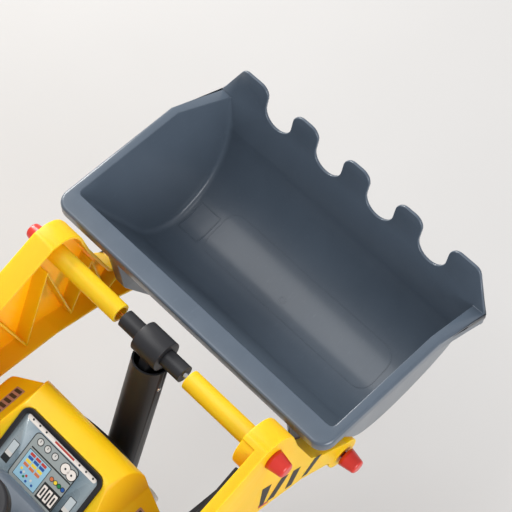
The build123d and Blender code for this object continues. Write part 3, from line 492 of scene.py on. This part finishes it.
def panel(u0, u1, v0, v1, radius=0.0):
    """Rectangular outline, its corners rounded."""
    if not radius:
        return [(u0, v0), (u1, v0), (u1, v1), (u0, v1)]
    points = []
    left, right, bottom, top = u0 + radius, u1 - radius, v0 + radius, v1 - radius
    for quarter, (u, v) in enumerate(((right, top), (left, top), (left, bottom), (right, bottom))):
        for step in range(6):
            turn = (quarter + step / 5) * pi / 2
            points.append((u + radius * cos(turn), v + radius * sin(turn)))
    return points


def print_patches(name, place, outlines, low, high, ink, body):
    """Thin patches of one ink: place turns (u, v, height) into a point of the toy."""
    bm = bmesh.new()
    for outline in outlines:
        lower = [bm.verts.new(place(u, v, low)) for u, v in outline]
        upper = [bm.verts.new(place(u, v, high)) for u, v in outline]
        bm.faces.new(upper)
        bm.faces.new(lower[::-1])
        for i in range(len(outline)):
            j = (i + 1) % len(outline)
            bm.faces.new((lower[i], lower[j], upper[j], upper[i]))
    bmesh.ops.recalc_face_normals(bm, faces=bm.faces)
    return finish_piece(name, bm, body, [INK[ink]])


DASH_FRONT = at(-106, 0, -37)
DASH_SLOPE = radians(33)
PRINT_BASE, PRINT_LIFT, PRINT_STEP = -0.32, 0.02, 0.1


def dash(t, y, up):
    """Point on the instrument panel: t down the slope, y to the left, up off the surface."""
    along = Vector((-cos(DASH_SLOPE), 0, -sin(DASH_SLOPE)))
    out = Vector((-sin(DASH_SLOPE), 0, cos(DASH_SLOPE)))
    return DASH_FRONT + (along * t + Vector((0, y, 0)) + out * up) * MM


def dash_layer(name, level, ink, outlines):
    """Patches of one ink on the instrument panel, level layers up."""
    high = PRINT_BASE + PRINT_LIFT + PRINT_STEP * level
    print_patches("dash_" + name, dash, outlines, PRINT_BASE, high, ink, "body")


GAUGES = [(14.7, y) for y in (18.7, 9.6, 0.2)]
DIALS = [(15.8, -14.0), (16.4, -21.8)]
SCREEN = (25.4, 52.2, -3.8, 22.6)
CELL_ROWS = {"red": 27.7, "blue": 31.2, "yellow": 34.8, "orange": 38.4}
CELL_COLUMNS = (17.0, 10.1, 3.1)
LAMP_ROW = 31.2
LAMPS = {"orange": -9.8, "yellow": -14.5, "green": -18.9, "blue": -23.5}
DIGITS = (-10.0, -16.3, -22.6)
RIVETS = (36.6, 28.3, 20.0, -21.9, -30.3, -39.0)
SPOTS = {
    "yellow": [(43.4, 18.4)],
    "pale": [(44.6, 14.6), (46.0, 4.6)],
    "red": [(45.6, 10.4)],
    "green": [(47.8, 12.6)],
    "blue": [(46.8, 16.4), (49.6, 8.2), (48.8, 1.4)],
}
SLIDER_SIDE = 36.5


def add_dash_print():
    """Gauges, lamps, screen, read-out and sliders printed on the instrument panel, without words."""
    dash_layer("strip", 1, "cream", [panel(2.6, 7.4, -43.0, 43.0, 2.2)])
    dash_layer("rivets", 2, "dark", [disc(4.6, y, 1.0, 14) for y in RIVETS])
    dash_layer("strip_bar", 2, "red", [panel(4.0, 5.8, -15.4, 8.5)])
    dash_layer("field_edge", 1, "dark", [panel(8.3, 57.6, -27.2, 27.2, 5.0)])
    dash_layer("field", 2, "grey", [panel(9.2, 56.7, -26.3, 26.3, 4.2)])
    rings = [disc(t, y, 3.6) for t, y in GAUGES] + [disc(t, y, 5.4) for t, y in DIALS]
    rings += [disc(LAMP_ROW, y, 2.3, 18) for y in LAMPS.values()]
    dash_layer("rings", 3, "dark", rings + [panel(22.2, 23.5, -26.0, 22.9), panel(36.8, 53.4, -26.2, -6.3)])
    dash_layer("gauge_faces", 4, "pale", [disc(t, y, 2.8) for t, y in GAUGES])
    dash_layer("dial_faces", 4, "cream", [disc(t, y, 4.6) for t, y in DIALS])
    hands = [panel(t - 2.0, t + 0.4, y - 0.25, y + 0.25) for t, y in GAUGES]
    dash_layer("hands", 5, "dark", hands + [disc(t, y, 1.0, 14) for t, y in DIALS])
    t0, t1, y0, y1 = SCREEN
    dash_layer("screen_edge", 3, "dark", [panel(t0 - 0.5, t1 + 0.5, y0 - 0.5, y1 + 0.5)])
    dash_layer("screen", 4, "sky", [panel(*SCREEN)])
    for ink, row in CELL_ROWS.items():
        cells = [panel(row - 1.3, row + 1.3, y - 2.8, y + 2.8) for y in CELL_COLUMNS]
        dash_layer("cells_" + ink, 5, ink, cells)
    for ink, places in SPOTS.items():
        dash_layer("spots_" + ink, 5, ink, [disc(t, y, 1.2, 12) for t, y in places])
    for ink, y in LAMPS.items():
        dash_layer("lamp_" + ink, 4, ink, [disc(LAMP_ROW, y, 1.75, 18)])
    dash_layer("digits", 4, "cream", [panel(39.0, 51.2, y - 2.3, y + 2.3, 0.8) for y in DIGITS])
    dash_layer("digit_gaps", 5, "dark", [panel(41.2, 49.0, y - 0.8, y + 0.8) for y in DIGITS])
    sliders = [side * SLIDER_SIDE for side in (-1, 1)]
    dash_layer("slider_tracks", 1, "dark", [panel(29.4, 51.0, y - 4.0, y + 4.0, 0.6) for y in sliders])
    dash_layer("slider_knobs", 2, "silver", [panel(30.0, 40.4, y - 3.5, y + 3.5, 0.5) for y in sliders])
    dash_layer("slider_lips", 2, "pale", [panel(40.4, 44.6, y - 3.5, y + 3.5) for y in sliders])


SHOULDER_SLOPE = atan2(24, 37)
SHOULDER_TOP = 68
VENT_FRONT, VENT_SLOTS, VENT_PITCH, VENT_SLOT = -91.0, 8, 6.2, 3.6


def shoulder_place(side):
    """Places on the hood's sloping shoulder: u along X, v down the slope."""
    def place(u, v, up):
        y = SHOULDER_TOP + v * cos(SHOULDER_SLOPE) + up * sin(SHOULDER_SLOPE)
        z = -SHOULDER_TOP - v * sin(SHOULDER_SLOPE) + up * cos(SHOULDER_SLOPE)
        return at(u, side * y, z)
    return place


def add_vents():
    """Louvre stickers on both shoulders of the hood."""
    for side, word in ((1, "left"), (-1, "right")):
        place = shoulder_place(side)
        back = VENT_FRONT - VENT_SLOTS * VENT_PITCH - 1.5
        plate = panel(back, VENT_FRONT, 8.6, 22.6, 1.0)
        print_patches("vent_" + word, place, [plate], -0.1, 0.1, "rose", "body")
        slots = []
        for i in range(VENT_SLOTS):
            start = VENT_FRONT - 1.8 - i * VENT_PITCH
            slots.append(panel(start - VENT_SLOT, start, 10.4, 20.8, 0.8))
        print_patches("vent_slots_" + word, place, slots, -0.1, 0.2, "dark", "body")


ARM_FACE = 143.0
STRIPES = ((-16, 5, 4, 11), (-7, 9, 18, 9), (16, 8, 10, 9), (37, 7, 16, 9))


def stripe(start, width, lean, top):
    """Slanted hazard band between the sticker's lower and upper lines."""
    def low(x):
        return -83.0 - 0.5 * (x + 17.5)

    def high(x):
        return -46.0 - 0.66 * (x + 17.0)
    end = start + width
    left, right = start + lean, start + lean + top
    return [(start, low(start)), (end, low(end)), (right, high(right)), (left, high(left))]


def add_hazard_stickers():
    """Dark slanted bands on the outer face of both arms, over a dull red line."""
    for side, word in ((1, "left"), (-1, "right")):
        def place(x, z, up):
            return at(x, side * (ARM_FACE + up), z)
        bands = [stripe(*numbers) for numbers in STRIPES]
        print_patches("hazard_" + word, place, bands, -0.1, 0.15, "brown", "loader_arms")
        line = [(-17.0, -86.0), (-5.0, -92.5), (-5.0, -90.0), (-17.0, -80.0)]
        print_patches("hazard_line_" + word, place, [line], -0.1, 0.12, "red", "loader_arms")


# ---------------------------------------------------------------- moulded lines on the bucket floor

DROP_START = 20
LINE_SINK = -0.1


def floor_finder(node):
    """Function that drops a point onto a node from above."""
    mesh = frame["nodes"][node].data
    tree = BVHTree.FromPolygons([v.co for v in mesh.vertices], [p.vertices for p in mesh.polygons])

    def drop(x, y, rise):
        start = at(x, y, DROP_START)
        hit = tree.ray_cast(start, Vector((0, 0, -1)))[0]
        return hit + Vector((0, 0, rise * MM))
    return drop


def ribbon(name, loop, width, rise, drop):
    """Raised line of a width along a closed loop of (x, y), lying on the bucket's floor."""
    bm = bmesh.new()
    rings = []
    centre = Vector((sum(x for x, _ in loop), sum(y for _, y in loop))) / len(loop)
    for x, y in loop:
        inward = (centre - Vector((x, y))).normalized() * width
        u, v = x + inward.x, y + inward.y
        section = ((x, y, LINE_SINK), (x, y, rise), (u, v, rise), (u, v, LINE_SINK))
        rings.append([bm.verts.new(drop(*spot)) for spot in section])
    for i in range(len(rings)):
        first, second = rings[i], rings[(i + 1) % len(rings)]
        for k in range(4):
            m = (k + 1) % 4
            bm.faces.new((first[k], second[k], second[m], first[m]))
    bmesh.ops.recalc_face_normals(bm, faces=bm.faces)
    finish_piece(name, bm, "loader_bucket", [PAINT["slate_plastic"]])


def fine_loop(outline, step=6.0):
    """Outline with points added so that none are further apart than step."""
    points = []
    for (x0, y0), (x1, y1) in zip(outline, outline[1:] + outline[:1]):
        count = max(1, int(max(abs(x1 - x0), abs(y1 - y0)) / step))
        points += [(x0 + (x1 - x0) * i / count, y0 + (y1 - y0) * i / count) for i in range(count)]
    return points


def add_floor_lines():
    """Outlined field, end step and round gate mark moulded into the bucket's floor."""
    drop = floor_finder("bucket")
    ribbon("floor_field", fine_loop(panel(144, 192, -116, 103, 14)), 0.9, 0.25, drop)
    ribbon("floor_step", fine_loop(panel(145, 178, 106, 133, 1.5)), 1.2, 0.45, drop)
    ribbon("floor_gate", disc(160, 4, 3.6, 24), 0.9, 0.35, drop)


add_camera()
add_lights()
add_floor()
dress_cad()
add_dash_print()
add_vents()
add_hazard_stickers()
add_floor_lines()
